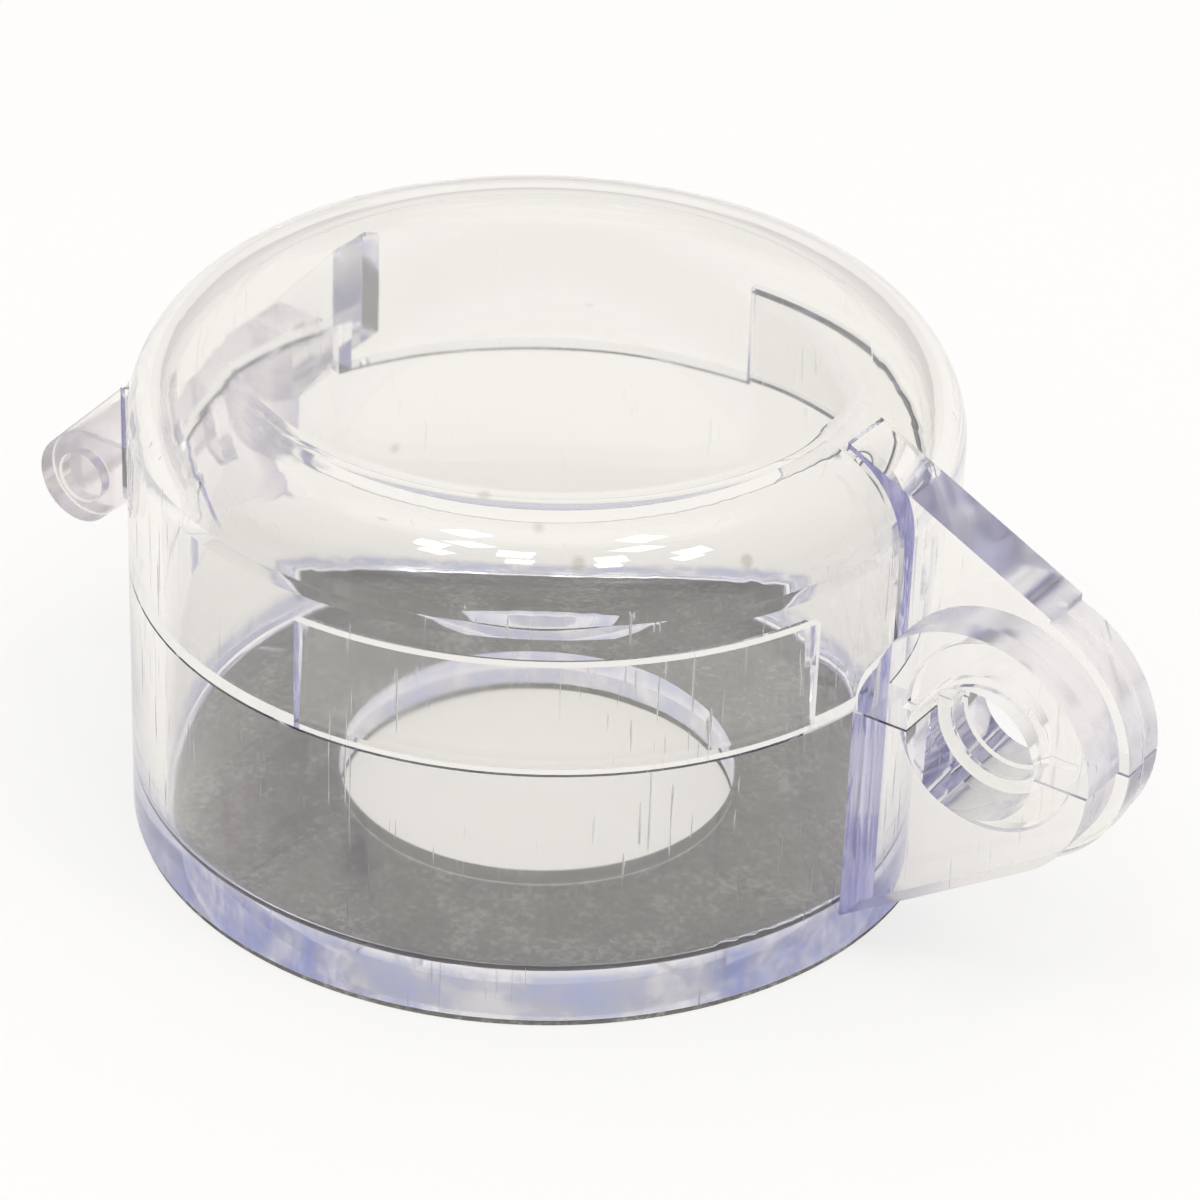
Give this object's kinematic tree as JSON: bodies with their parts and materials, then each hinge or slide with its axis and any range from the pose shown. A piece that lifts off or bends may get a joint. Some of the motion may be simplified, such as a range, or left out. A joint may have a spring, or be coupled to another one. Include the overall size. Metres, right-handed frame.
{
  "type": "push-button lockout cover",
  "caption": "Clear round hinged cover that stands round a panel push button, with a padlock hasp that locks its domed lid shut.",
  "frame": {"origin": "centre of the button hole, on the panel face under the sealing washer", "axes": "+Z away from the panel, +X towards the padlock hasp, hinge on -X with its axis along Y"},
  "size_m": [0.0877, 0.062, 0.0402],
  "materials": {
    "clear_polycarbonate": "clear, glossy, with a faint blue-violet tint in thick sections",
    "gasket_rubber": "matt, dark grey"
  },
  "bodies": {
    "cup": {"base_cup": "clear_polycarbonate", "gasket": "gasket_rubber"},
    "lid": {"lid": "clear_polycarbonate"}
  },
  "joints": [
    {"name": "lid_hinge", "type": "hinge", "parent": "cup", "child": "lid", "pos_m": [-0.03365, 0, 0.02215], "axis": [0, -1, 0], "range_deg": [0, 180]}
  ]
}
